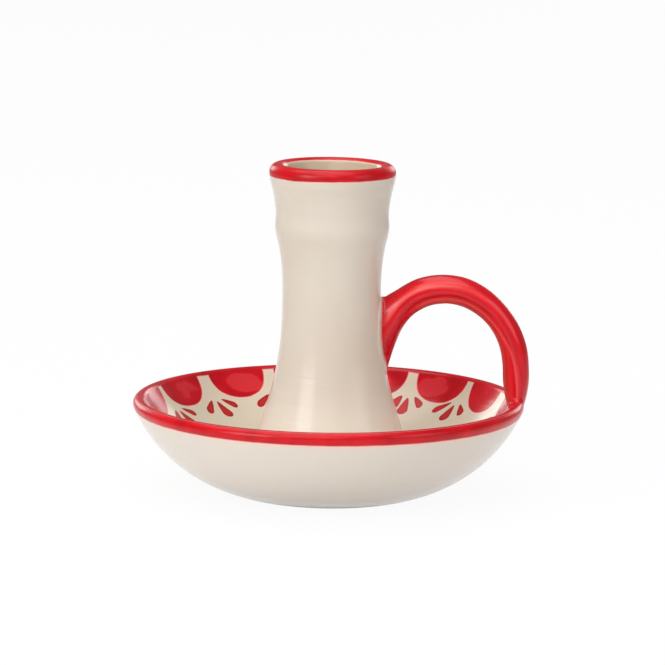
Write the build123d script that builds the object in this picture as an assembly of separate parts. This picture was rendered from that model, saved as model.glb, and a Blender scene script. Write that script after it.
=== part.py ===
from build123d import *
import math
import os

# A glazed ceramic chamberstick: a shallow dish, a hollow candle column in its
# middle and a finger loop from the column's waist to the dish's rim. All sizes
# are in millimetres. +Z is up, the foot stands on Z = 0, the column's axis is
# the Z axis and the loop lies in the XZ plane on the +X side.

# Dish
rim_radius = 60.0
rim_height = 29.2
rim_round_radius = 2.0
wall_sweep_radius = 46.0
floor_height = 6.5
floor_flat_radius = 20.0

# Foot ring under the dish, left bare of glaze
foot_ring_radius = 27.3
foot_ring_width = 4.0
foot_recess_depth = 1.2

# Outside of the column
column_height = 101.4
column_foot_radius = 30.0
column_foot_land = 1.0
waist_radius = 15.1
waist_height = 57.5
collar_radius = 17.4
collar_height = 81.5
neck_radius = 17.25
neck_height = 86.0
lip_radius = 19.3
lip_round_radius = 2.6
foot_flare_angle = 132.0

# Inside of the column: a cylindrical socket for a 22 mm candle with a flared
# mouth above it, and below it a ledge and the hollow left by the throwing
socket_radius = 11.4
socket_length = 22.0
mouth_depth = 8.4
waist_wall = 5.8
column_foot_width = 8.5
hollow_taper_height = 38.0

# Points of the column's outline between those stations, as shares of the step
# in height and in radius: foot to waist, waist to collar, and neck to lip
flare_shares = ((0.223, 0.51), (0.365, 0.67), (0.502, 0.801), (0.731, 0.942))
shoulder_shares = ((0.633, 0.26), (0.79, 0.54))
mouth_rise_shares = ((0.53, 0.44), (0.81, 0.87))

# Finger loop
loop_opening_height = 29.4
strap_thickness = 8.4
strap_width = 8.6

# Stations along the loop, from inside the column round to the rim. Each has the
# place of the opening's edge (reach from the waist to the rim's middle, rise
# from the rim to the crown of the opening), the angle at which the strap lies
# there, and its thickness and width against the plain strap
loop_shares = (
    (-0.04, 0.15, 97.0, 3.01, 1.16),
    (0.033, 0.197, 97.0, 2.84, 1.14),
    (0.069, 0.341, 95.0, 2.51, 1.1),
    (0.118, 0.562, 96.0, 1.905, 1.06),
    (0.169, 0.739, 99.0, 1.435, 1.03),
    (0.23, 0.86, 104.0, 1.19, 1.0),
    (0.323, 0.953, 105.0, 1.11, 1.0),
    (0.458, 1.0, 93.0, 1.07, 1.0),
    (0.581, 0.975, 75.0, 1.05, 1.0),
    (0.677, 0.907, 57.0, 1.01, 1.0),
    (0.762, 0.805, 39.0, 0.96, 1.0),
    (0.827, 0.672, 21.0, 0.965, 1.0),
    (0.87, 0.512, 5.0, 0.985, 1.0),
    (0.887, 0.36, -3.0, 0.99, 1.0),
    (0.899, 0.183, -1.0, 0.93, 0.98),
    (0.929, -0.008, 1.0, 0.725, 0.92),
    (0.953, -0.108, 1.0, 0.53, 0.86),
)

# Slip, the liquid clay that joins the leather-hard pieces before firing
slip_thickness = 0.4
slip_bead = 0.8
foot_bead = 1.6

# Places that follow from those sizes, each (radius, height)
rim_centre = (rim_radius - rim_round_radius, rim_height - rim_round_radius)
waist = (waist_radius, waist_height)
collar = (collar_radius, collar_height)
neck = (neck_radius, neck_height)
lip_centre = (lip_radius - lip_round_radius, column_height - lip_round_radius)
lip_side = (lip_radius, lip_centre[1])
socket_mouth = (socket_radius, column_height - mouth_depth)
ledge_height = socket_mouth[1] - socket_length
hollow_radius = waist_radius - waist_wall


def inside_sweep():
    """Radius of the dish's inner wall, tangent to the flat floor and to the rim's round."""
    across = rim_centre[0] - floor_flat_radius
    up = rim_centre[1] - floor_height
    return (across**2 + up**2 - rim_round_radius**2) / (2 * (up + rim_round_radius))


inside_radius = inside_sweep()
inside_centre = (floor_flat_radius, floor_height + inside_radius)


def outside_centre():
    """Centre of the dish's outer wall, which leaves the foot ring and meets the rim's round."""
    across = rim_centre[0] - foot_ring_radius
    up = rim_centre[1]
    chord = math.hypot(across, up)
    reach = wall_sweep_radius - rim_round_radius
    along = (wall_sweep_radius**2 - reach**2 + chord**2) / (2 * chord)
    aside = math.sqrt(wall_sweep_radius**2 - along**2)
    return (
        foot_ring_radius + (across * along - up * aside) / chord,
        (up * along + across * aside) / chord,
    )


def direction(start, end):
    """Angle in degrees of the way from one point of a section to another."""
    return math.degrees(math.atan2(end[1] - start[1], end[0] - start[0]))


def heading(angle):
    """Unit vector of a section at an angle in degrees."""
    return (math.cos(math.radians(angle)), math.sin(math.radians(angle)))


def between(start, end, step_shares):
    """Points between two stations of a section, at shares of the step in height and radius."""
    return [
        (start[0] + (end[0] - start[0]) * across, start[1] + (end[1] - start[1]) * up)
        for up, across in step_shares
    ]


def revolved(edges):
    """Solid turned about the Z axis from a closed outline of radius against height."""
    return revolve(Plane.XZ * make_face(edges), Axis.Z)


def dish_inside_edges(start_radius, end_radius, lift):
    """Edges along the dish's inner face, outwards between two radii and lifted off it."""
    edges = []
    if start_radius < floor_flat_radius:
        level = floor_height + lift
        turn_radius = min(end_radius, floor_flat_radius)
        edges.append(Line((start_radius, level), (turn_radius, level)))
    if end_radius > floor_flat_radius:
        sweep = inside_radius - lift
        first_reach = max(start_radius - floor_flat_radius, 0)
        first = math.degrees(math.asin(first_reach / sweep))
        last = math.degrees(math.asin((end_radius - floor_flat_radius) / sweep))
        edges.append(CenterArc(inside_centre, sweep, first - 90, last - first))
    return edges


def dish_solid(lift=0.0):
    """The dish, or the same form with its rim, walls and floor standing out by lift."""
    centre = outside_centre()
    wall_start = direction(centre, (foot_ring_radius, 0))
    rim_start = direction(centre, rim_centre)
    rim_end = direction(rim_centre, inside_centre)
    inner_start = direction(inside_centre, rim_centre)
    wall = CenterArc(centre, wall_sweep_radius + lift, wall_start, rim_start - wall_start)
    rim = CenterArc(rim_centre, rim_round_radius + lift, rim_start, rim_end - rim_start)
    inner = CenterArc(inside_centre, inside_radius - lift, inner_start, -90 - inner_start)
    recess_radius = foot_ring_radius - foot_ring_width
    underside = Polyline(
        inner @ 1,
        (0, floor_height + lift),
        (0, foot_recess_depth),
        (recess_radius - foot_recess_depth, foot_recess_depth),
        (recess_radius, 0),
        wall @ 0,
    )
    return revolved([wall, rim, inner, underside])


def seat_edges(lift):
    """Edges of the column's seat, lifted off the dish's inner face."""
    return dish_inside_edges(column_foot_radius - column_foot_width, column_foot_radius, lift)


def land_top(lift):
    """Top of the short upright land at the edge of the column's foot."""
    foot_edge = seat_edges(lift)[-1] @ 1
    return (foot_edge.X, foot_edge.Y + column_foot_land)


def outside_edge(lift):
    """The column's outer face from the top of its foot land to the lip's widest point."""
    foot = land_top(slip_thickness)
    points = [
        foot,
        *between(foot, waist, flare_shares),
        waist,
        *between(waist, collar, shoulder_shares),
        collar,
        neck,
        *between(neck, lip_side, mouth_rise_shares),
        lip_side,
    ]
    stood_out = [(radius + lift, height) for radius, height in points]
    return Spline(stood_out, tangents=[heading(foot_flare_angle), heading(90)])


def lip_edge():
    """The lip's round, from its widest point over the crest to where the mouth's cone leaves it."""
    span = math.dist(lip_centre, socket_mouth)
    turn = math.degrees(math.acos(lip_round_radius / span))
    end = direction(lip_centre, socket_mouth) - turn
    return CenterArc(lip_centre, lip_round_radius, 0, end % 360)


def column_solid():
    """The hollow candle column, seated on a thin layer of slip over the dish's inner face."""
    seat = seat_edges(slip_thickness)
    land = Line(seat[-1] @ 1, land_top(slip_thickness))
    lip = lip_edge()
    inside = Polyline(
        lip @ 1,
        socket_mouth,
        (socket_radius, ledge_height),
        (hollow_radius, ledge_height),
        (hollow_radius, hollow_taper_height),
        seat[0] @ 0,
    )
    return revolved([*seat, land, outside_edge(0), lip, inside])


def column_envelope(lift):
    """The column's outer form, closed and standing out by lift, which the loop is fitted to."""
    outside = outside_edge(lift)
    foot, top = outside @ 0, outside @ 1
    return revolved([outside, Polyline(top, (0, top.Y), (0, foot.Y), foot)])


def foot_slip_solid():
    """Slip between column and dish, squeezed out in a hollow bead round the column's foot."""
    inner_radius = column_foot_radius - column_foot_width
    under = dish_inside_edges(inner_radius, column_foot_radius + foot_bead, 0)
    over = seat_edges(slip_thickness)
    foot_edge = over[-1] @ 1
    land = Line(land_top(slip_thickness), foot_edge)
    toe = under[-1] @ 1
    hollow_point = (toe + land @ 0 + foot_edge) / 3
    bead = ThreePointArc(toe, hollow_point, land @ 0)
    inner_edge = Line(over[0] @ 0, under[0] @ 0)
    return revolved([*under, bead, land, *over, inner_edge])


def loop_section(station, extra):
    """Oval section of the strap at one station, larger by extra all round."""
    reach, rise, angle, thick, wide = station
    thickness = strap_thickness * thick
    across, up = heading(angle)
    outward = Vector(across, 0, up)
    opening_edge = Vector(
        waist_radius + (rim_centre[0] - waist_radius) * reach,
        0,
        rim_height + loop_opening_height * rise,
    )
    plane = Plane(
        origin=opening_edge + outward * (thickness / 2),
        x_dir=outward,
        z_dir=Vector(up, 0, -across),
    )
    return plane * Ellipse(thickness / 2 + extra, strap_width * wide / 2 + extra)


def strap_solid(extra=0.0):
    """The whole strap, with both ends run on into the column and the rim."""
    return loft([loop_section(station, extra) for station in loop_shares])


def largest(shape):
    """The largest solid of a shape, without slivers past the seats."""
    return max(shape.solids(), key=lambda solid: solid.volume)


def build():
    """Every piece under the name that it is stored by."""
    column_skin = column_envelope(slip_thickness)
    dish_skin = dish_solid(slip_thickness)
    dish = dish_solid()
    strap = strap_solid()
    pad = strap_solid(slip_bead)
    return {
        "drip_pan": dish,
        "candle_column": column_solid(),
        "foot_slip": foot_slip_solid(),
        "finger_loop": largest(strap - column_skin - dish_skin),
        "upper_slip": largest((pad & column_skin) - column_envelope(0)),
        "lower_slip": largest((pad & dish_skin) - dish),
    }


os.makedirs("parts", exist_ok=True)
for name, piece in build().items():
    export_step(piece, f"parts/{name}.step")
    print(name, round(piece.volume, 1), piece.bounding_box())
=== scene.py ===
import math

import bmesh
import bpy
from mathutils import Matrix, Vector


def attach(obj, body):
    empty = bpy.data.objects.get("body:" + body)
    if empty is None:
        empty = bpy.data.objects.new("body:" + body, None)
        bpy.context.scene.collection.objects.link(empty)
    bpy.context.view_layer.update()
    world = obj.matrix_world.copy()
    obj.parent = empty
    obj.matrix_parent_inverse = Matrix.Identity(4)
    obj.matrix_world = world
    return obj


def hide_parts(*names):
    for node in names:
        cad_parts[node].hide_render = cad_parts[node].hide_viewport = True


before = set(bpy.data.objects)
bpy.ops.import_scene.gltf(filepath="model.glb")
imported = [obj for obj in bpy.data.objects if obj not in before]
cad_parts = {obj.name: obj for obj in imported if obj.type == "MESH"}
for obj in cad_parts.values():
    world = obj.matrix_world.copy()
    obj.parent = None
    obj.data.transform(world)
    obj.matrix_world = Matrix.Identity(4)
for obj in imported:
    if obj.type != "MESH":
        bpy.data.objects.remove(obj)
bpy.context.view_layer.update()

# A glazed chamberstick in its studio. The turned pieces are lathed from the same
# sizes as the CAD, in millimetres, and turned into metres as vertices are made.
# The ornament is painted by shader nodes in polar coordinates round the Z axis.
MM = 0.001

# Dish
rim_radius = 60.0
rim_height = 29.2
rim_round_radius = 2.0
wall_sweep_radius = 46.0
floor_height = 6.5
floor_flat_radius = 20.0
foot_ring_radius = 27.3
foot_ring_width = 4.0
foot_recess_depth = 1.2
foot_edge_softness = 0.7

# Column: outline points of (radius, height) up the outside, and the inside
column_foot = (30.0, 7.93)
foot_flare_angle = 132.0
flare_points = ((22.4, 18.99), (20.02, 26.02), (18.07, 32.81), (15.96, 44.16), (15.1, 57.5))
shoulder_points = ((15.7, 72.69), (16.34, 76.46), (17.4, 81.5), (17.25, 86.0))
mouth_points = ((18.15, 92.78), (19.03, 96.37), (19.3, 98.8))
lip_centre = (16.7, 98.8)
lip_round_radius = 2.6
socket_mouth = (11.4, 93.0)
ledge_height = 71.0
hollow_radius = 9.3
hollow_taper_height = 38.0
column_seat_inner = (21.5, 7.0)
mouth_edge_softness = 1.2
ledge_softness = 0.6

# Heights between which the walls of the socket and of the hollow run plain
socket_run = (91.0, 72.0)
hollow_run_top = 69.0

# The photographed ware isn't quite true: the column leans and stands a little
# off the dish's middle, and the rim tilts towards the loop
column_shift = 0.901
column_lean = -0.0074
rim_tilt = 0.004

# Slip bead round the column's foot: where it leaves the dish and the column, and
# the corner that its hollow leans to, over the dish and on the column
bead_toe_radius = 31.9
bead_top = (28.6, 9.3)
bead_corner_radius = 30.2
bead_corner_lift = 0.4
bead_corner_on_column = (29.9, 8.0)
bead_sink = 0.05

# How far in and down the bead's buried back lies from its top and from its toe
bead_back_from_top = (1.0, 0.6)
bead_back_from_toe = (2.2, 1.2)

# Finger loop. Each station has the place of the opening's edge (reach from the
# waist to the rim's middle, rise from the rim to the crown of the opening), the
# strap's angle there, and its thickness and width against the plain strap
loop_opening_height = 29.4
strap_thickness = 8.4
strap_width = 8.6
loop_shares = (
    (-0.04, 0.15, 97.0, 3.01, 1.16),
    (0.033, 0.197, 97.0, 2.84, 1.14),
    (0.069, 0.341, 95.0, 2.51, 1.1),
    (0.118, 0.562, 96.0, 1.905, 1.06),
    (0.169, 0.739, 99.0, 1.435, 1.03),
    (0.23, 0.86, 104.0, 1.19, 1.0),
    (0.323, 0.953, 105.0, 1.11, 1.0),
    (0.458, 1.0, 93.0, 1.07, 1.0),
    (0.581, 0.975, 75.0, 1.05, 1.0),
    (0.677, 0.907, 57.0, 1.01, 1.0),
    (0.762, 0.805, 39.0, 0.96, 1.0),
    (0.827, 0.672, 21.0, 0.965, 1.0),
    (0.87, 0.512, 5.0, 0.985, 1.0),
    (0.887, 0.36, -3.0, 0.98, 1.0),
    (0.894, 0.183, -1.0, 0.95, 0.98),
    (0.917, -0.008, 1.0, 0.73, 0.92),
    (0.941, -0.108, 1.0, 0.5, 0.86),
    (0.966, -0.16, 1.0, 0.22, 0.8),
)
column_fillet_radius = 1.8
rim_fillet_radius = 1.2

# A plain oval has 2; less draws the fingers' ridges along the strap
strap_roundness = 1.85

# The glazed forms stay this far inside the plain ones
shrink = 0.03

# Mesh density
turns = 360
rim_steps = 24
bead_steps = 14
strap_turns = 96
strap_steps_each = 14

# Camera, fitted to the photograph's edges
image_size = 665
camera_focal_pixels = 3787.78
camera_distance = 1144.72
camera_height = 239.78
camera_side = 0.9
camera_pitch = 9.4502
camera_roll = 0.9359
sensor_width = 36.0
clip_distances = (50.0, 60000.0)

# Studio: a white sheet under the object, which widens towards the back and fades
# into a light grey floor at its front and sides
sheet_front = -220.0
sheet_half_width = 140.0
sheet_flare = 0.1
sheet_fade = 120.0
sheet_glow = 0.94
sheet_white = (0.9, 0.9, 0.9, 1.0)
floor_grey = (0.62, 0.62, 0.62, 1.0)
floor_half_size = 14000.0
world_strength = 0.24

# Lamps, each with its place and size in metres and how bright it looks against
# plain white. All are aimed at the object's middle
lamps = (
    ("key_left", (-1.18, -1.1, 0.62), (0.8, 0.8), 5.2),
    ("overhead", (-0.2, -0.1, 1.4), (1.8, 1.4), 1.95),
    ("fill_right", (1.3, -0.9, 0.7), (0.9, 0.9), 1.8),
    ("front_high", (-0.25, -1.68, 1.3), (1.2, 0.8), 2.2),
    ("back_left", (-1.02, 1.87, 0.53), (0.68, 0.66), 3.2),
    ("back_right", (0.8, 1.97, 0.49), (0.86, 0.62), 2.5),
)
lamp_aim = (0, 0, 0.05)


def arc(centre, radius, start, end, steps):
    """Points of an outline along an arc, between angles in degrees."""
    points = []
    for step in range(steps + 1):
        angle = math.radians(start + (end - start) * step / steps)
        points.append((centre[0] + radius * math.cos(angle), centre[1] + radius * math.sin(angle)))
    return points


def straight(start, end, steps):
    """Points of an outline along a straight line."""
    return [
        (start[0] + (end[0] - start[0]) * step / steps, start[1] + (end[1] - start[1]) * step / steps)
        for step in range(steps + 1)
    ]


def rounded(first, corner, last, share):
    """Point at a share of the way along a curve that leans to a corner between two ends."""
    return first * (1 - share) ** 2 + corner * 2 * share * (1 - share) + last * share**2


def bend(before, corner, after, size, steps=5):
    """Points that round a corner of an outline over a length on both sides."""
    corner_point = Vector(corner)
    first = corner_point + (Vector(before) - corner_point).normalized() * size
    last = corner_point + (Vector(after) - corner_point).normalized() * size
    return [tuple(rounded(first, corner_point, last, step / steps)) for step in range(steps + 1)]


def heading(angle):
    """Unit vector at an angle in degrees."""
    return Vector((math.cos(math.radians(angle)), math.sin(math.radians(angle))))


def flowing(rows, steps, placed=2, start_slope=None, end_slope=None):
    """Rows of numbers run through smoothly, spaced by how far the placed numbers at their head move."""
    gaps = [math.dist(a[:placed], b[:placed]) for a, b in zip(rows, rows[1:])]
    pairs = [
        [(after - before) / gap for before, after in zip(low, high)]
        for low, high, gap in zip(rows, rows[1:], gaps)
    ]
    slopes = [pairs[0]]
    for index in range(1, len(pairs)):
        before, after = gaps[index - 1], gaps[index]
        slopes.append([
            (slope_before * after + slope_after * before) / (before + after)
            for slope_before, slope_after in zip(pairs[index - 1], pairs[index])
        ])
    slopes.append(pairs[-1])
    slopes[0] = start_slope or slopes[0]
    slopes[-1] = end_slope or slopes[-1]
    line = [list(rows[0])]
    for index, gap in enumerate(gaps):
        for step in range(1, steps + 1):
            s = step / steps
            line.append([
                start * (2 * s**3 - 3 * s**2 + 1)
                + start_rise * gap * (s**3 - 2 * s**2 + s)
                + end * (3 * s**2 - 2 * s**3)
                + end_rise * gap * (s**3 - s**2)
                for start, start_rise, end, end_rise in zip(
                    rows[index], slopes[index], rows[index + 1], slopes[index + 1]
                )
            ])
    return line


def angle_between(start, end):
    """Angle in degrees of the way from one point of an outline to another."""
    return math.degrees(math.atan2(end[1] - start[1], end[0] - start[0]))


def dish_centres():
    """Centres and radius that the dish's inner and outer walls sweep about, tangent to the rim."""
    across = rim_radius - rim_round_radius - floor_flat_radius
    up = rim_height - rim_round_radius - floor_height
    sweep = (across**2 + up**2 - rim_round_radius**2) / (2 * (up + rim_round_radius))
    inner = (floor_flat_radius, floor_height + sweep)
    across = rim_radius - rim_round_radius - foot_ring_radius
    up = rim_height - rim_round_radius
    chord = math.hypot(across, up)
    reach = wall_sweep_radius - rim_round_radius
    along = (wall_sweep_radius**2 - reach**2 + chord**2) / (2 * chord)
    aside = math.sqrt(wall_sweep_radius**2 - along**2)
    outer = (
        foot_ring_radius + (across * along - up * aside) / chord,
        (up * along + across * aside) / chord,
    )
    return inner, sweep, outer


rim_centre = (rim_radius - rim_round_radius, rim_height - rim_round_radius)
inner_centre, inner_sweep, outer_centre = dish_centres()


def dish_inside_height(radius):
    """Height of the dish's inner face at a radius inside the rim."""
    reach = max(radius - floor_flat_radius, 0)
    return inner_centre[1] - math.sqrt(inner_sweep**2 - reach**2)


def dish_outline():
    """The dish's outline, from under its middle round the rim to its floor, and where its crest is."""
    recess_radius = foot_ring_radius - foot_ring_width
    recess_edge = (recess_radius - foot_recess_depth, foot_recess_depth)
    ring_inner = (recess_radius, 0)
    ring_outer = (foot_ring_radius, 0)
    wall_start = angle_between(outer_centre, ring_outer)
    rim_start = angle_between(outer_centre, rim_centre)
    rim_end = angle_between(rim_centre, inner_centre)
    inner_start = angle_between(inner_centre, rim_centre)
    wall = arc(outer_centre, wall_sweep_radius, wall_start, rim_start, steps=56)
    underside = straight((0, foot_recess_depth), recess_edge, steps=20)[:-1]
    underside += bend((0, foot_recess_depth), recess_edge, ring_inner, foot_edge_softness)
    underside += bend(recess_edge, ring_inner, ring_outer, foot_edge_softness)
    underside += bend(ring_inner, ring_outer, wall[1], foot_edge_softness)
    rim = arc(rim_centre, rim_round_radius, rim_start, rim_end, rim_steps)
    inner = arc(inner_centre, inner_sweep, inner_start, -90, steps=60)
    floor = straight((floor_flat_radius, floor_height), (0, floor_height), steps=16)
    outside = underside + wall[2:]
    crest = len(outside) + rim_steps // 2 - 1
    return outside + rim[1:] + inner[1:] + floor[1:], crest


def column_outside():
    """The column's outer outline from its foot to the lip's widest point."""
    stations = (column_foot, *flare_points, *shoulder_points, *mouth_points)
    return flowing(stations, steps=10, start_slope=heading(foot_flare_angle), end_slope=heading(90))


outside_line = column_outside()


def column_outline():
    """The column's closed outline: seat, outside, lip, mouth, socket, ledge and hollow."""
    span = math.dist(lip_centre, socket_mouth)
    turn = math.degrees(math.acos(lip_round_radius / span))
    lip_end = (angle_between(lip_centre, socket_mouth) - turn) % 360
    lip = arc(lip_centre, lip_round_radius, 0, lip_end, steps=28)
    socket_radius = socket_mouth[0]
    ledge_outer = (socket_radius, ledge_height)
    ledge_inner = (hollow_radius, ledge_height)
    taper = (hollow_radius, hollow_taper_height)
    inside = straight(lip[-1], socket_mouth, steps=8)[1:-1]
    inside += bend(lip[-1], socket_mouth, ledge_outer, mouth_edge_softness)
    inside += straight((socket_radius, socket_run[0]), (socket_radius, socket_run[1]), steps=8)
    inside += bend(socket_mouth, ledge_outer, ledge_inner, ledge_softness)
    inside += bend(ledge_outer, ledge_inner, taper, ledge_softness)
    inside += straight((hollow_radius, hollow_run_top), taper, steps=8)
    inside += straight(taper, column_seat_inner, steps=8)[1:]
    return outside_line + lip[1:] + inside


def column_radius(height):
    """Radius of the column's outside at a height."""
    for low, high in zip(outside_line, outside_line[1:]):
        if low[1] <= height <= high[1]:
            return low[0] + (high[0] - low[0]) * (height - low[1]) / (high[1] - low[1])
    return outside_line[0][0] if height < outside_line[0][1] else outside_line[-1][0]


def dish_place(radius, height, angle):
    """A point of the dish in millimetres, with the rim's slight tilt."""
    radius *= 1 - shrink / rim_radius
    x, y = radius * math.cos(angle), radius * math.sin(angle)
    return Vector((x, y, height + rim_tilt * x * height / rim_height))


def column_place(radius, height, angle):
    """A point of the column in millimetres, with its slight lean and shift."""
    x, y = radius * math.cos(angle), radius * math.sin(angle)
    level = height * (1 - shrink / (lip_centre[1] + lip_round_radius))
    return Vector((x + column_shift + column_lean * height, y, level))


def linked(name, shape, material):
    """Object of a bmesh with one material, in the scene."""
    mesh = bpy.data.meshes.new(name)
    shape.to_mesh(mesh)
    shape.free()
    mesh.materials.append(material)
    thing = bpy.data.objects.new(name, mesh)
    bpy.context.scene.collection.objects.link(thing)
    return thing


def finished(name, shape, material):
    """Object of a bmesh with smooth faces and one material, riding on the part's one body."""
    bmesh.ops.recalc_face_normals(shape, faces=shape.faces)
    piece = linked(name, shape, material)
    piece.data.shade_smooth()
    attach(piece, "root")
    return piece


def skinned(shape, rings, closed):
    """Fills a mesh with faces between neighbouring rings, where a ring may be one point."""
    pairs = list(zip(rings, rings[1:]))
    if closed:
        pairs.append((rings[-1], rings[0]))
    for low, high in pairs:
        count = max(len(low), len(high))
        for turn in range(count):
            after = (turn + 1) % count
            if len(low) == 1:
                shape.faces.new((low[0], high[after], high[turn]))
            elif len(high) == 1:
                shape.faces.new((low[turn], low[after], high[0]))
            else:
                shape.faces.new((low[turn], low[after], high[after], high[turn]))


def turned(shape, outline, place, closed):
    """Fills a mesh with a form turned from an outline, and gives its rings of points."""
    rings = [
        [
            shape.verts.new(place(radius, height, math.tau * turn / turns) * MM)
            for turn in range(turns if radius else 1)
        ]
        for radius, height in outline
    ]
    skinned(shape, rings, closed)
    return rings


def dish_piece(material):
    """The dish, with its inner face marked for the painted petals."""
    outline, crest = dish_outline()
    shape = bmesh.new()
    inside = shape.verts.layers.float.new("inside")
    rings = turned(shape, outline, dish_place, closed=False)
    for ring in rings[crest + 1:]:
        for vert in ring:
            vert[inside] = 1.0
    piece = finished("dish_glazed", shape, material)
    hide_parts("drip_pan")


def column_piece(material):
    """The thrown column with its lip, socket and hollow."""
    shape = bmesh.new()
    turned(shape, column_outline(), column_place, closed=True)
    piece = finished("column_glazed", shape, material)
    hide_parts("candle_column")


def foot_bead_piece(material):
    """The soft glazed bead that fills the corner between the column's foot and the dish."""
    toe_height = dish_inside_height(bead_toe_radius)
    corner_height = dish_inside_height(bead_corner_radius) + bead_corner_lift

    def section(angle):
        start = dish_place(bead_toe_radius, toe_height - bead_sink, angle)
        corner = dish_place(bead_corner_radius, corner_height, angle)
        corner = corner.lerp(column_place(*bead_corner_on_column, angle), 0.5)
        end = column_place(bead_top[0] - bead_sink, bead_top[1], angle)
        points = [rounded(start, corner, end, step / bead_steps) for step in range(bead_steps + 1)]
        (top_in, top_down), (toe_in, toe_down) = bead_back_from_top, bead_back_from_toe
        points.append(column_place(bead_top[0] - top_in, bead_top[1] - top_down, angle))
        points.append(dish_place(bead_toe_radius - toe_in, toe_height - toe_down, angle))
        return points

    shape = bmesh.new()
    sections = [section(math.tau * turn / turns) for turn in range(turns)]
    rings = [[shape.verts.new(point * MM) for point in ring] for ring in zip(*sections)]
    skinned(shape, rings, closed=True)
    piece = finished("foot_bead", shape, material)
    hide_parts("foot_slip")


def strap_stations():
    """Inner edge, outer edge and half width at each station of the strap, in millimetres."""
    waist_radius, rim_reach = flare_points[-1][0], rim_centre[0]
    stations = []
    for reach, rise, angle, thick, wide in loop_shares:
        inner = Vector((
            waist_radius + (rim_reach - waist_radius) * reach,
            rim_height + loop_opening_height * rise,
        ))
        outer = inner + heading(angle) * strap_thickness * thick
        stations.append((*inner, *outer, strap_width * wide / 2))
    return stations


def column_gap(point):
    """Distance of a point in millimetres from the column's outside."""
    middle = column_shift + column_lean * point.z
    return math.hypot(point.x - middle, point.y) - column_radius(point.z)


def rim_gap(point):
    """Distance of a point in millimetres from the round of the dish's rim."""
    level = point.z - rim_tilt * point.x * point.z / rim_height
    reach = math.hypot(point.x, point.y)
    return math.hypot(reach - rim_centre[0], level - rim_centre[1]) - rim_round_radius


def fillet(gap, radius):
    """How far a surface stands out at a distance from the one that it joins."""
    if gap >= radius:
        return 0.0
    return radius - math.sqrt(radius**2 - (radius - max(gap, 0)) ** 2)


def ridged(share):
    """A section's sine or cosine, drawn in between its four ends into soft ridges."""
    return math.copysign(abs(share) ** (2 / strap_roundness), share)


def loop_piece(material):
    """The pulled strap with a soft fillet where it joins the column and the rim."""
    shape = bmesh.new()
    off_joint = shape.verts.layers.float.new("off_joint")
    along_strap = shape.verts.layers.float.new("along")
    across_strap = shape.verts.layers.float.new("across")
    rings = []
    travelled = 0.0
    last_middle = None
    sideways = Vector((0, 1, 0))
    line = flowing(strap_stations(), strap_steps_each, placed=4)
    for inner_x, inner_z, outer_x, outer_z, half_width in line:
        inner = Vector((inner_x, 0, inner_z))
        outer = Vector((outer_x, 0, outer_z))
        middle = (inner + outer) / 2
        outward = (outer - inner).normalized()
        half = (outer - inner).length / 2
        travelled += (middle - last_middle).length if last_middle else 0.0
        last_middle = middle
        ring = []
        for turn in range(strap_turns):
            angle = math.tau * turn / strap_turns
            across = ridged(math.cos(angle))
            aside = ridged(math.sin(angle))
            point = middle + outward * (across * half) + sideways * (aside * half_width)
            off_column = column_gap(point)
            spread = fillet(off_column, column_fillet_radius)
            spread += fillet(rim_gap(point), rim_fillet_radius) * (1 - max(across, 0))
            normal = (outward * (across * half_width) + sideways * (aside * half)).normalized()
            point += normal * (spread - shrink)
            point.z += rim_tilt * point.x
            vert = shape.verts.new(point * MM)
            vert[off_joint] = off_column
            vert[along_strap] = travelled
            vert[across_strap] = across
            ring.append(vert)
        rings.append(ring)
    skinned(shape, rings, closed=False)
    shape.faces.new(rings[0])
    shape.faces.new(rings[-1])
    piece = finished("loop_glazed", shape, material)
    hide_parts("finger_loop", "upper_slip", "lower_slip")


# Glaze: how rough and glossy it is, how much rougher it is at places on the dish
# and the lip, and how deep its bumps are, in millimetres
glaze_roughness = 0.2
glaze_gloss = 0.3
glaze_ior = 1.5
loop_gloss = 0.45
dish_roughness = 0.18
bare_extra_roughness = 0.5
foot_edge_extra_roughness = 0.3
outer_red_extra_roughness = 0.08
lip_red_extra_roughness = 0.1
thrown_bump = 0.1
bead_bump = 0.08
loop_bump = 0.06
paint_relief = 0.3


class Field:
    """A number worked out by shader nodes, with ordinary arithmetic."""

    def __init__(self, paint, socket):
        self.paint = paint
        self.socket = socket

    def __add__(self, other):
        return self.paint.math("ADD", self, other)

    def __sub__(self, other):
        return self.paint.math("SUBTRACT", self, other)

    def __rsub__(self, other):
        return self.paint.math("SUBTRACT", other, self)

    def __mul__(self, other):
        return self.paint.math("MULTIPLY", self, other)

    def __truediv__(self, other):
        return self.paint.math("DIVIDE", self, other)


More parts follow.
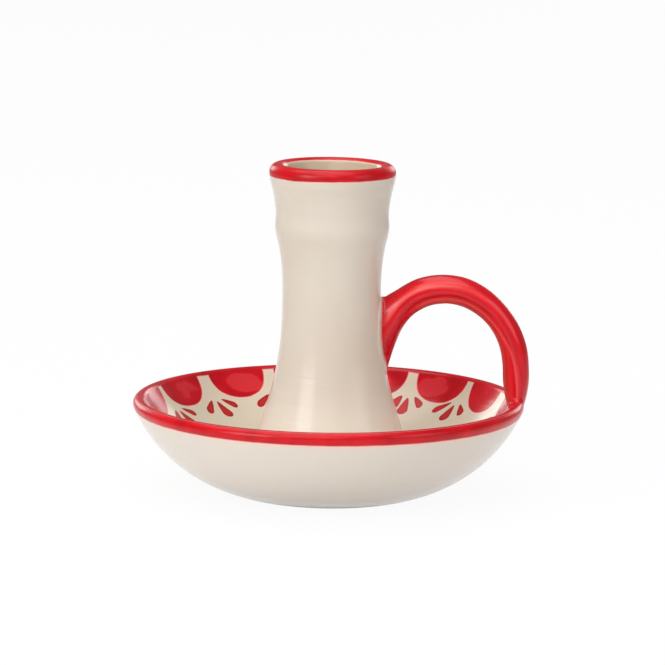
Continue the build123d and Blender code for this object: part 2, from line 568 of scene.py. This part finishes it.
class Paint:
    """A material whose colour and bump are worked out by nodes, from places in millimetres."""

    def __init__(self, name):
        self.material = bpy.data.materials.new(name)
        self.material.use_nodes = True
        self.nodes = self.material.node_tree.nodes
        self.links = self.material.node_tree.links
        self.shader = self.nodes["Principled BSDF"]
        coordinates = self.add("ShaderNodeTexCoord")
        scaled = self.add("ShaderNodeVectorMath", operation="SCALE")
        self.put(scaled.inputs[0], coordinates.outputs["Object"])
        self.put(scaled.inputs["Scale"], 1 / MM)
        self.place = scaled.outputs[0]
        split = self.add("ShaderNodeSeparateXYZ")
        self.put(split.inputs[0], self.place)
        self.x, self.y, self.z = (Field(self, output) for output in split.outputs)

    def add(self, kind, **settings):
        """New node with settings."""
        node = self.nodes.new(kind)
        for key, value in settings.items():
            setattr(node, key, value)
        return node

    def put(self, socket, value):
        """Links a field or socket to a socket, or sets its number or colour."""
        if isinstance(value, Field):
            value = value.socket
        if isinstance(value, bpy.types.NodeSocket):
            self.links.new(value, socket)
        else:
            socket.default_value = value

    def math(self, operation, *values):
        """Result of a math node."""
        node = self.add("ShaderNodeMath", operation=operation)
        for socket, value in zip(node.inputs, values):
            self.put(socket, value)
        return Field(self, node.outputs[0])

    def attribute(self, name):
        """Number stored on the mesh's points."""
        return Field(self, self.add("ShaderNodeAttribute", attribute_name=name).outputs["Fac"])

    def joined(self, x, y, z):
        """Vector of three fields or numbers."""
        node = self.add("ShaderNodeCombineXYZ")
        for socket, value in zip(node.inputs, (x, y, z)):
            self.put(socket, value)
        return node.outputs[0]

    def noise(self, size, stretch=(1, 1, 1), detail=2.0, seed=0.0, place=None):
        """Noise about zero, from -0.5 to 0.5, with patches of a size in millimetres."""
        mapping = self.add("ShaderNodeMapping")
        self.put(mapping.inputs["Vector"], place or self.place)
        mapping.inputs["Location"].default_value = (seed, seed, seed)
        mapping.inputs["Scale"].default_value = tuple(1 / (size * share) for share in stretch)
        texture = self.add("ShaderNodeTexNoise")
        self.put(texture.inputs["Vector"], mapping.outputs[0])
        texture.inputs["Scale"].default_value = 1.0
        texture.inputs["Detail"].default_value = detail
        return Field(self, texture.outputs["Fac"]) - 0.5

    def step(self, value, low, high):
        """Smooth rise from 0 to 1 as a value goes from low to high."""
        node = self.add("ShaderNodeMapRange", interpolation_type="SMOOTHSTEP")
        self.put(node.inputs["Value"], value)
        self.put(node.inputs["From Min"], low)
        self.put(node.inputs["From Max"], high)
        return Field(self, node.outputs[0])

    def mix(self, share, first, second):
        """Colour between two colours."""
        node = self.add("ShaderNodeMix", data_type="RGBA", clamp_factor=True)
        self.put(node.inputs["Factor"], share)
        self.put(node.inputs["A"], first)
        self.put(node.inputs["B"], second)
        return node.outputs["Result"]

    def length(self, first, second):
        """Length of a way whose two parts lie at right angles."""
        return self.math("SQRT", first * first + second * second)

    def larger(self, first, second):
        """The larger of two fields."""
        return self.math("MAXIMUM", first, second)

    def smaller(self, first, second):
        """The smaller of two fields."""
        return self.math("MINIMUM", first, second)

    def table(self, index, rows):
        """Three fields picked from the painter's rows by a whole number that counts from 0."""
        ramp = self.add("ShaderNodeValToRGB")
        ramp.color_ramp.interpolation = "CONSTANT"
        stops = ramp.color_ramp.elements
        stops[1].position = 1 / len(rows)
        for number in range(2, len(rows)):
            stops.new(number / len(rows))
        for stop, row in zip(stops, rows):
            stop.color = (*[(value + painter_limit) / (2 * painter_limit) for value in row], 1.0)
        self.put(ramp.inputs[0], (index + 0.5) / len(rows))
        split = self.add("ShaderNodeSeparateColor")
        self.put(split.inputs[0], ramp.outputs["Color"])
        return [Field(self, output) * (2 * painter_limit) - painter_limit for output in split.outputs]

    def finish(self, colour, bump, depth, roughness=glaze_roughness, gloss=glaze_gloss):
        """Sets the glaze's colour, bump in millimetres and gloss."""
        node = self.add("ShaderNodeBump")
        self.put(node.inputs["Strength"], 1.0)
        self.put(node.inputs["Distance"], depth * MM)
        self.put(node.inputs["Height"], bump)
        self.put(self.shader.inputs["Base Color"], colour)
        self.put(self.shader.inputs["Normal"], node.outputs[0])
        self.put(self.shader.inputs["Roughness"], roughness)
        self.put(self.shader.inputs["IOR"], glaze_ior)
        self.put(self.shader.inputs["Specular IOR Level"], gloss)
        return self.material


def srgb(red, green, blue):
    """Linear colour from eight-bit screen values."""
    linear = []
    for value in (red, green, blue):
        share = value / 255
        linear.append(share / 12.92 if share <= 0.04045 else ((share + 0.055) / 1.055) ** 2.4)
    return (*linear, 1.0)


# Colours, as they show on the screen
cream_colour = srgb(226, 217, 203)
cream_shade_colour = srgb(220, 209, 192)
cream_pink_colour = srgb(231, 210, 200)
# Painted light: the dish's outside gets its own paler, more neutral cream, standing in for light
# bounced up from the floor
outer_lit_cream_colour = srgb(226, 215, 206)
inner_cream_colour = srgb(222, 211, 190)
speck_colour = srgb(176, 150, 122)
# Painted shade down the column's mouth, and painted light on the column's foot and bead
mouth_shade_colour = srgb(197, 178, 153)
foot_light_colour = srgb(238, 232, 218)
# Painted contact shadow along the bottom of the dish's outside
foot_shadow_colour = srgb(150, 122, 100)
drop_colour = srgb(192, 44, 38)
deep_drop_colour = srgb(208, 0, 12)
drop_edge_colour = srgb(160, 14, 20)
halo_colour = srgb(246, 208, 196)
clay_colour = srgb(214, 190, 160)

# Brushed reds, each as it is in a plain coat, where it pooled and where it ran thin.
# On the loop the pooled and thin reds also paint shade and highlights
band_reds = (srgb(214, 14, 28), srgb(186, 0, 16), srgb(232, 52, 56))
petal_reds = (srgb(206, 14, 30), srgb(180, 6, 22), srgb(222, 56, 64))
loop_reds = (srgb(226, 10, 30), srgb(196, 0, 22), srgb(252, 92, 88))

# Painted ornament of the dish, in millimetres and degrees. Bearings run from +Y
# towards +X, and the hand-spaced stems stand a little closer at the back
band_inner_radius = 56.3
band_outer_height = 25.4
stem_count = 15
stem_pitch = 360 / stem_count
first_stem = -68.3
spacing_swing = 1.2
spacing_middle = -9.0
wall_slope_share = 1.3

# Petals: how deep they hang, how blunt their tips are, and what turns a share of a
# petal into millimetres
petal_depth = 5.25
petal_bluntness = 2.2
petal_scale = 5.0

# Painted reflection in each petal, a lighter patch of thinner red: half its width in
# degrees, its middle and half its depth as shares of a petal's depth, and how soft and
# strong it is. To the sides of the dish it shifts, slants and fades
reflection_half_width = 8.8
reflection_middle = 0.42
reflection_half_depth = 0.46
reflection_softness = 0.45
reflection_strength = 0.85
reflection_waver = 4.0
reflection_side_shift = 5.0
reflection_side_slant = 0.2
reflection_side_fade = 1.15

# Fans of teardrops. Each teardrop has its tip and its round end (across from the
# stem, and radius), the radius of its end, and its share of the first one's turn
fan_start_radius = 51.3
fan_length = 4.5
fan_rise = 0.2
fan_side_sink = 0.4
drop_tip_radius = 0.25
drop_swell = 0.7
fan_drops = (
    ((-2.25, 51.6), (-5.4, 48.8), 1.5, 1.6),
    ((-0.1, 51.2), (0.2, 46.7), 1.8, 0.0),
    ((2.25, 51.6), (5.9, 49.4), 1.2, 0.0),
)

# Teardrops near this bearing are deeper red, fading out between two distances in
# degrees. All have an edge of this width in another red
deep_drop_bearing = 28.0
deep_drop_fade = (22.0, 12.0)
drop_edge_width = 0.9

# Edges of the dish's red, in millimetres: how far they waver, how soft they are,
# and where the pink that bleeds out round them starts and is full
inner_waver = 0.4
drop_waver = 0.35
outer_waver = 0.25
inner_feather = 0.16
outer_feather = 0.3
inner_halo = (-0.5, -0.15)
outer_halo = (-1.7, -0.1)
inner_halo_strength = 0.7
outer_halo_strength = 0.75

# Foot ring: its bare clay shows up to a height and from a radius, each given as the
# two ends of a soft edge, and a painted contact shadow darkens the glaze for a little way above
bare_heights = (0.35, 0.6)
bare_radii = (
    foot_ring_radius - foot_ring_width - 0.9,
    foot_ring_radius - foot_ring_width - 0.5,
)
foot_shadow_heights = (0.2, 2.4)
foot_shadow_strength = 0.6

# Red band over the column's lip. Outside it starts at a height that rises with x.
# Inside it ends at an angle over the lip's round, where a degree is this long
lip_band_height = 97.87
lip_band_slant = 0.014
lip_band_end = 134.0
lip_degree_length = 0.045
lip_outer_waver = 0.5
lip_inner_waver = 0.3
lip_feather = 0.2
lip_halo = (-0.9, 0.0)
lip_halo_strength = 0.6

# Column's creams: a deeper one down its mouth, which is painted shade, and a paler one on its
# foot, which is painted light and turns into the dish's cream from a radius on the bead
mouth_radius = 16.6
mouth_softness = 0.8
mouth_heights = (80.0, 86.0)
foot_light_heights = (12.0, 48.0)
foot_light_strength = 0.75
bead_blend_start = 28.9

# Clouds, pink flushes and specks of the cream, and pooled and thin paint in a
# brushed red, each between two levels of noise
cloud_levels = (-0.25, 0.25)
blush_levels = (0.06, 0.3)
blush_strength = 0.35
speck_levels = (0.26, 0.33)
speck_strength = 0.25
pooled_levels = (-0.24, 0.2)
thin_levels = (0.18, 0.36)
thin_strength = 0.7

# Red of the loop: it starts off the column's skin, and its strokes waver. Places
# along the strap are in millimetres from its root, and a pair is where something
# fades in or out. Places and widths across it run from -1 on the side of the
# opening to 1 on the outer side
root_waver = 0.5
root_fade = (0.05, 0.9)
brush_across = 4.5
brush_aside = 0.3
stroke_waver = 0.15

# Painted highlight: a light line of thin red along the strap's crest, which drifts outwards down the
# strap
highlight_line_place = -0.57
highlight_line_width = 0.17
highlight_line_strength = 0.5
highlight_line_start = (14.0, 26.0)
highlight_line_drift = 0.64
drift_run = (50.0, 74.0)

# Painted shade: a dark line of pooled red in the groove beside the crest, which swings out
# at the shoulder, and darker pooled red at the section's inner and outer edges
shade_line_place = 0.28
shade_line_width = 0.2
shade_line_strength = 0.9
shade_line_drift = 0.12
shade_line_swing = 0.25
swing_out = (42.0, 52.0)
swing_back = (52.0, 64.0)
edge_shade_places = (0.76, 1.0)
edge_shade_strength = 0.8

# Painted highlight: a broad streak of thin red up the strap's outer side, which widens and dims
broad_highlight_place = 0.4
broad_highlight_width = 0.26
broad_highlight_widening = 0.12
widening_run = (16.0, 40.0)
broad_highlight_start = (4.0, 10.0)
broad_highlight_end = (34.0, 52.0)
broad_highlight_dimming = 0.55
dimming_run = (14.0, 34.0)

# The painter's hand, a row for each petal and each fan of teardrops, going round
# from the first stem. A petal is turned off its even place, has half a width and
# leans towards its tip. A fan is turned off its stem, leans, and has its first
# teardrop turned further. All are in degrees and within the limit
painter_limit = 12.0
petal_rows = (
    (-1.2, 10.2, 1.7), (0.05, 10.2, 1.0), (0.3, 10.4, 0.4), (0.3, 10.3, 0.0), (0.5, 10.3, -0.4),
    (-1.5, 8.9, 0.1), (-0.6, 9.9, -0.5), (0.7, 10.4, 0.3), (-0.4, 10.2, -0.6), (0.5, 10.5, 0.7),
    (0.0, 10.1, -0.2), (-0.7, 10.4, 0.5), (0.6, 10.0, -0.4), (-0.3, 10.6, 0.6), (0.4, 10.2, 1.2),
)
fan_rows = (
    (3.2, 2.3, -0.3), (1.2, 2.0, -1.6), (0.9, 0.8, -2.0), (0.9, 0.2, 0.4), (1.2, -0.6, 1.6),
    (-2.0, -1.7, -1.4), (4.0, -1.0, -0.6), (0.4, 0.5, 0.5), (-0.7, -0.4, -0.7), (0.6, 0.9, 0.2),
    (-0.3, -0.8, 0.9), (0.8, 0.3, -0.5), (-0.6, 0.6, 0.3), (0.5, -0.5, -0.8), (1.0, 1.2, 0.2),
)


def cream(paint, light=cream_colour, shade=cream_shade_colour):
    """Cream clay under clear glaze, with soft cloudy changes, pink flushes and specks."""
    cloud = paint.step(paint.noise(size=26, stretch=(1, 1, 1.6), detail=3, seed=3.0), *cloud_levels)
    blush = paint.step(paint.noise(size=15, seed=11.0), *blush_levels)
    speck = paint.step(paint.noise(size=1.5, detail=1, seed=29.0), *speck_levels)
    colour = paint.mix(cloud, light, shade)
    colour = paint.mix(blush * blush_strength, colour, cream_pink_colour)
    return paint.mix(speck * speck_strength, colour, speck_colour)


def throwing_lines(paint):
    """Faint level ridges that the thrower's fingers leave."""
    return paint.noise(size=2.4, stretch=(12, 12, 1), seed=5.0)


def red(paint, streaks, reds):
    """Brushed red, thinner and brighter where the streaks run high: where the brush ran dry and, on the
    petals, where a painted reflection is added.
    """
    plain, pooled, thin = reds
    colour = paint.mix(paint.step(streaks, *pooled_levels), pooled, plain)
    return paint.mix(paint.step(streaks, *thin_levels) * thin_strength, colour, thin)


def counted(paint, place):
    """Number of the mark that a place round the dish belongs to, and degrees from its middle."""
    number = paint.math("WRAP", paint.math("FLOOR", place), stem_count, 0)
    return number, (paint.math("FRACT", place) - 0.5) * stem_pitch


def drop(paint, across, up, tip, end, end_radius):
    """How far inside a brushed teardrop a point is, from its tip to its round end."""
    run_x = end[0] - tip[0]
    run_y = (end[1] - tip[1]) * wall_slope_share
    reach = 1 - end_radius / math.hypot(run_x, run_y)
    run_x, run_y = run_x * reach, run_y * reach
    from_x, from_y = across - tip[0], up - tip[1] * wall_slope_share
    share = (from_x * run_x + from_y * run_y) / (run_x**2 + run_y**2)
    share = paint.smaller(paint.larger(share, 0.0), 1.0)
    distance = paint.length(from_x - share * run_x, from_y - share * run_y)
    width = paint.math("POWER", share, drop_swell) * (end_radius - drop_tip_radius) + drop_tip_radius
    return width - distance


def fans(paint, place, radius, side):
    """How far inside the teardrops of the nearest fan a point is."""
    number, from_stem = counted(paint, place + 0.5)
    fan_turn, fan_lean, first_turn = paint.table(number, fan_rows)
    sink = side * fan_side_sink - fan_rise
    run = (fan_start_radius - radius + sink) / fan_length
    turn = from_stem - fan_turn - fan_lean * run
    up = (radius - sink) * wall_slope_share
    drops = None
    for tip, end, end_radius, own_share in fan_drops:
        own_turn = turn - first_turn * own_share * run if own_share else turn
        leaf = drop(paint, own_turn * radius * math.radians(1), up, tip, end, end_radius)
        drops = leaf if drops is None else paint.larger(drops, leaf)
    return drops


def petal_reflections(paint, off_petal, hang, side, wobble):
    """How strong the painted reflection, a lighter patch, is in the middle of each petal."""
    across = (off_petal + side * reflection_side_shift + wobble * reflection_waver) / reflection_half_width
    down = (hang - reflection_middle + side * across * reflection_side_slant) / reflection_half_depth
    share = paint.step(1.0 - paint.length(across, down), 0.0, reflection_softness)
    return share * (1 - side * side * reflection_side_fade) * reflection_strength


def painted_dish():
    """Dish glaze: red rim band, hanging petals, three teardrops at each stem, bare foot ring, with
    painted light on the outside, a painted contact shadow above the foot and painted reflections in the
    petals.
    """
    paint = Paint("painted_dish_glaze")
    inside = paint.attribute("inside")
    outside = 1 - inside
    wobble = paint.noise(size=5, seed=17.0)
    radius = paint.length(paint.x, paint.y)
    bearing = paint.math("ARCTAN2", paint.x, paint.y) * math.degrees(1)
    side = paint.math("SINE", bearing * math.radians(1))
    swing = paint.math("SINE", (bearing - spacing_middle) * math.radians(1)) * spacing_swing
    place = (bearing - swing - first_stem) * (stem_count / 360)

    number, from_petal = counted(paint, place)
    petal_turn, petal_width, petal_lean = paint.table(number, petal_rows)
    off_petal = from_petal - petal_turn
    hang = paint.larger((band_inner_radius - radius + wobble * inner_waver) / petal_depth, 0.0)
    aside = (off_petal - petal_lean * hang) / petal_width
    petal = 1.0 - paint.math("SQRT", aside * aside + paint.math("POWER", hang, petal_bluntness))
    band = radius - band_inner_radius + wobble * inner_waver

    inner_red = paint.larger(petal * petal_scale, band)
    outer_red = paint.z - band_outer_height + wobble * outer_waver
    drops = fans(paint, place, radius, side) + wobble * drop_waver
    red_inside = paint.step(inner_red, -inner_feather, inner_feather) * inside
    red_outside = paint.step(outer_red, -outer_feather, outer_feather) * outside
    drop_mask = paint.step(drops, -inner_feather, inner_feather) * inside
    halo_inside = paint.step(paint.larger(inner_red, drops), *inner_halo) * inside
    halo_outside = paint.step(outer_red, *outer_halo) * outside
    halo = halo_inside * inner_halo_strength + halo_outside * outer_halo_strength
    # Painted contact shadow: the outside darkens just above the foot
    foot_edge = 1 - paint.step(paint.z, *foot_shadow_heights)
    bare = (1 - paint.step(paint.z, *bare_heights)) * paint.step(radius, *bare_radii)

    streaks = paint.noise(size=9, stretch=(1, 1, 0.6), seed=41.0)
    # The petals' painted reflections are added to the brush streaks, pushing the red towards its thin,
    # lighter shade
    streaks = streaks + petal_reflections(paint, off_petal, hang, side, wobble)
    # The outside's cream is painted light, for light bounced up from the floor
    outer_cream = cream(paint, outer_lit_cream_colour, cream_colour)
    outer_cream = paint.mix(foot_edge * foot_shadow_strength, outer_cream, foot_shadow_colour)
    colour = paint.mix(inside, outer_cream, cream(paint, inner_cream_colour, inner_cream_colour))
    colour = paint.mix(halo, colour, halo_colour)
    deep = paint.step(paint.math("ABSOLUTE", bearing - deep_drop_bearing), *deep_drop_fade)
    drop_paint = paint.mix(deep, drop_colour, deep_drop_colour)
    drop_paint = paint.mix(paint.step(drops, 0.0, drop_edge_width), drop_edge_colour, drop_paint)
    colour = paint.mix(drop_mask, colour, drop_paint)
    colour = paint.mix(red_outside, colour, red(paint, streaks, band_reds))
    colour = paint.mix(red_inside, colour, red(paint, streaks, petal_reds))
    colour = paint.mix(bare, colour, clay_colour)

    roughness = bare * bare_extra_roughness + dish_roughness
    roughness = roughness + red_outside * outer_red_extra_roughness
    roughness = roughness + foot_edge * (1 - bare) * foot_edge_extra_roughness
    bump = throwing_lines(paint) + paint.larger(red_inside, red_outside) * paint_relief
    return paint.finish(colour, bump, thrown_bump, roughness)


def cream_column():
    """Column glaze: cream all over, with the red band over the lip, painted shade down the mouth and
    painted light on the foot.
    """
    paint = Paint("column_glaze")
    wobble = paint.noise(size=6, seed=23.0)
    radius = paint.length(paint.x, paint.y)
    lip_angle = paint.math("ARCTAN2", paint.z - lip_centre[1], radius - lip_centre[0])
    lip_angle = paint.math("WRAP", lip_angle * math.degrees(1), 270, -90)
    outside = paint.z - paint.x * lip_band_slant - lip_band_height + wobble * lip_outer_waver
    inside = (lip_band_end - lip_angle) * lip_degree_length + wobble * lip_inner_waver
    lip = paint.smaller(outside, inside)
    mask = paint.step(lip, -lip_feather, lip_feather)
    halo = paint.step(lip, *lip_halo)
    # Painted shade darkens the mouth, and painted light makes the foot paler
    mouth = paint.step(mouth_radius - radius, 0.0, mouth_softness) * paint.step(paint.z, *mouth_heights)
    foot = (1 - paint.step(paint.z, *foot_light_heights)) * foot_light_strength
    streaks = paint.noise(size=8, stretch=(1, 1, 0.6), seed=47.0)
    colour = paint.mix(foot, cream(paint), foot_light_colour)
    colour = paint.mix(mouth, colour, mouth_shade_colour)
    colour = paint.mix(halo * lip_halo_strength, colour, halo_colour)
    colour = paint.mix(mask, colour, red(paint, streaks, band_reds))
    bump = throwing_lines(paint) + mask * paint_relief
    return paint.finish(colour, bump, thrown_bump, mask * lip_red_extra_roughness + glaze_roughness)


def red_loop():
    """Loop glaze: brushed red with painted highlights and painted shade along the strap, fading to
    cream and pink in the fillet at the column.
    """
    paint = Paint("loop_glaze")
    gap = paint.attribute("off_joint") + paint.noise(size=4, seed=7.0) * root_waver
    along = paint.attribute("along")
    across = paint.attribute("across")
    brushed = paint.joined(along, across * brush_across, paint.y * brush_aside)
    streaks = paint.noise(size=1.6, stretch=(9, 1, 2), detail=3, seed=53.0, place=brushed)
    _, shade_red, highlight_red = loop_reds

    def stroke(middle, width):
        off_middle = paint.math("ABSOLUTE", across - middle + streaks * stroke_waver)
        return paint.step(1 - off_middle / width, 0.0, 1.0)

    # The light line along the crest and the broad streak are painted highlights; the dark line beside
    # the crest and the darker edges are painted shade
    low = paint.step(along, *drift_run)
    crest = low * highlight_line_drift + highlight_line_place
    thin = stroke(crest, highlight_line_width) * paint.step(along, *highlight_line_start) * highlight_line_strength
    swing = paint.step(along, *swing_out) * (1 - paint.step(along, *swing_back)) * shade_line_swing
    shade_line = crest + shade_line_place + swing + low * shade_line_drift
    pooled = stroke(shade_line, shade_line_width) * shade_line_strength
    edge_shade = paint.step(paint.math("ABSOLUTE", across), *edge_shade_places) * edge_shade_strength
    widened = paint.step(along, *widening_run) * broad_highlight_widening + broad_highlight_width
    dimmed = streaks + 1.0 - paint.step(along, *dimming_run) * broad_highlight_dimming
    broad_highlight = stroke(broad_highlight_place, widened) * paint.step(along, *broad_highlight_start)
    broad_highlight = broad_highlight * (1 - paint.step(along, *broad_highlight_end)) * dimmed

    # Pooled red paints shade on the dark line and the edges, and thin red paints the highlights
    colour = paint.mix(paint.larger(pooled, edge_shade), red(paint, streaks, loop_reds), shade_red)
    colour = paint.mix(paint.larger(thin, broad_highlight), colour, highlight_red)
    colour = paint.mix(paint.step(gap, *root_fade), cream(paint), colour)
    return paint.finish(colour, streaks, loop_bump, gloss=loop_gloss)


def plain_cream():
    """Cream glaze of the bead round the column's foot, from the column's cream with its painted light
    to the dish's.
    """
    paint = Paint("cream_glaze")
    to_dish = paint.step(paint.length(paint.x, paint.y), bead_blend_start, bead_toe_radius)
    # Painted light: the bead is paler, like the column's foot
    colour = paint.mix(foot_light_strength, cream(paint), foot_light_colour)
    colour = paint.mix(to_dish, colour, cream(paint, inner_cream_colour, inner_cream_colour))
    return paint.finish(colour, throwing_lines(paint), bead_bump)


def floor_paper():
    """Paper of the floor, whose sheet glows white where the camera or the glaze sees it."""
    paint = Paint("floor_paper")
    front = paint.step(paint.y, sheet_front - sheet_fade, sheet_front)
    aside = paint.math("ABSOLUTE", paint.x) - paint.y * sheet_flare
    sheet = front * paint.step(aside, sheet_half_width + sheet_fade, sheet_half_width)
    path = paint.add("ShaderNodeLightPath")
    seen = paint.larger(path.outputs["Is Camera Ray"], path.outputs["Is Glossy Ray"])
    seen = paint.larger(seen, path.outputs["Is Transmission Ray"])
    diffuse = paint.add("ShaderNodeBsdfDiffuse")
    paint.put(diffuse.inputs["Color"], paint.mix(sheet, floor_grey, sheet_white))
    glow = paint.add("ShaderNodeEmission")
    blend = paint.add("ShaderNodeMixShader")
    paint.put(blend.inputs[0], seen * (sheet * sheet_glow))
    paint.put(blend.inputs[1], diffuse.outputs[0])
    paint.put(blend.inputs[2], glow.outputs[0])
    paint.put(paint.nodes["Material Output"].inputs["Surface"], blend.outputs[0])
    paint.nodes.remove(paint.shader)
    return paint.material


def studio_floor():
    """A pale floor that shows white to the camera and in the glaze, with a soft shadow."""
    shape = bmesh.new()
    bmesh.ops.create_grid(shape, x_segments=8, y_segments=8, size=floor_half_size * MM)
    linked("floor", shape, floor_paper())


def studio_world():
    """Soft light from all round."""
    world = bpy.data.worlds.new("studio")
    bpy.context.scene.world = world
    world.use_nodes = True
    light = world.node_tree.nodes["Background"]
    light.inputs["Color"].default_value = (1, 1, 1, 1)
    light.inputs["Strength"].default_value = world_strength


def softbox(name, place, size, radiance):
    """An area lamp aimed at the object, as bright all over as a strength times white."""
    lamp = bpy.data.lights.new(name, "AREA")
    lamp.shape = "RECTANGLE"
    lamp.size, lamp.size_y = size
    lamp.energy = radiance * math.pi * size[0] * size[1]
    holder = bpy.data.objects.new(name, lamp)
    holder.location = place
    holder.rotation_euler = (Vector(lamp_aim) - Vector(place)).to_track_quat("-Z", "Y").to_euler()
    holder.visible_camera = False
    bpy.context.scene.collection.objects.link(holder)


def photo_camera():
    """The camera at the photograph's place, with its slight roll."""
    data = bpy.data.cameras.new("photo_camera")
    data.sensor_width = sensor_width
    data.lens = sensor_width * camera_focal_pixels / image_size
    data.clip_start, data.clip_end = (distance * MM for distance in clip_distances)
    camera = bpy.data.objects.new("photo_camera", data)
    camera.matrix_world = (
        Matrix.Translation(Vector((camera_side, -camera_distance, camera_height)) * MM)
        @ Matrix.Rotation(math.radians(90 - camera_pitch), 4, "X")
        @ Matrix.Rotation(math.radians(camera_roll), 4, "Z")
    )
    bpy.context.scene.collection.objects.link(camera)
    bpy.context.scene.camera = camera


bpy.context.scene.view_settings.view_transform = "Standard"
photo_camera()
studio_floor()
studio_world()
for lamp in lamps:
    softbox(*lamp)

dish_piece(painted_dish())
column_piece(cream_column())
foot_bead_piece(plain_cream())
loop_piece(red_loop())
